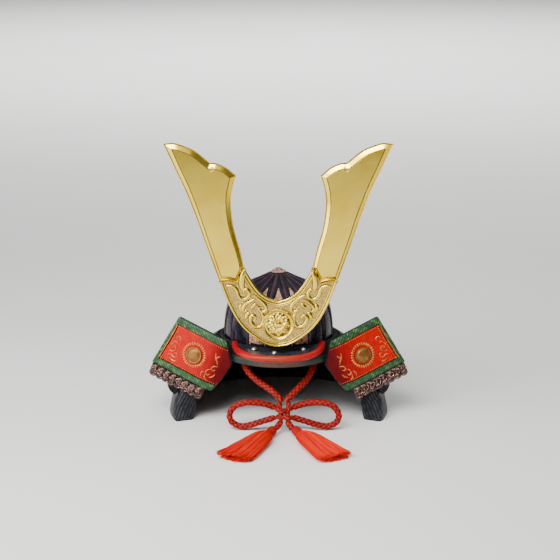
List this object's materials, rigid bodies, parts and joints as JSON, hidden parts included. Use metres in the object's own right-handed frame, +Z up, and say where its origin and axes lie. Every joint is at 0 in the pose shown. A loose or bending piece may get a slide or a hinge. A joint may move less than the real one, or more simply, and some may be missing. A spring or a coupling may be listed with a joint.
{
  "type": "miniature display kabuto helmet",
  "caption": "Small glazed ceramic samurai helmet for display, with a ribbed bowl, flared neck guard, turned-back side panels, gilt two-horned crest and tied chin cord.",
  "frame": {"origin": "on the floor under the middle of the hard pieces' box", "axes": "+Z up, the helmet faces -Y, +X to the viewer's right"},
  "size_m": [0.2086, 0.2205, 0.2326],
  "materials": {
    "dark_glaze": "gloss midnight-blue glaze",
    "bronze_glaze": "bronze-gold overglaze",
    "slate_glaze": "gloss slate glaze over grooves",
    "red_glaze": "gloss red glaze",
    "green_glaze": "satin green glaze",
    "scale_glaze": "brown glaze with pale lustre on the high points",
    "gilt_brass": "pressed brass sheet, gold plated and polished",
    "silver_stud": "silver overglaze",
    "silk_braid": "round braided rayon cord",
    "tassel_thread": "loose rayon thread"
  },
  "bodies": {
    "root": {"bowl": "dark_glaze", "crown_finial": "bronze_glaze", "brow_band": "dark_glaze", "visor": "dark_glaze", "visor_rim": "red_glaze", "visor_rivet_left": "silver_stud", "visor_rivet_middle": "silver_stud", "visor_rivet_right": "silver_stud", "neck_guard_lame_1": "slate_glaze", "neck_guard_lame_2": "slate_glaze", "neck_guard_lame_3": "slate_glaze", "neck_guard_skirt": "slate_glaze", "side_panel_left": "green_glaze", "side_panel_right": "green_glaze", "panel_field_left": "red_glaze", "panel_field_right": "red_glaze", "panel_disc_left": "bronze_glaze", "panel_disc_right": "bronze_glaze", "scale_row_left": "scale_glaze", "scale_row_right": "scale_glaze", "crest_horns": "gilt_brass", "crest_medallion": "gilt_brass", "crest_post": "gilt_brass", "chin_cord": "silk_braid", "bow_loop_left": "silk_braid", "bow_loop_right": "silk_braid", "tail_left": "silk_braid", "tail_right": "silk_braid", "bow_knot": "silk_braid", "tassel_left": "tassel_thread", "tassel_right": "tassel_thread"}
  },
  "joints": []
}
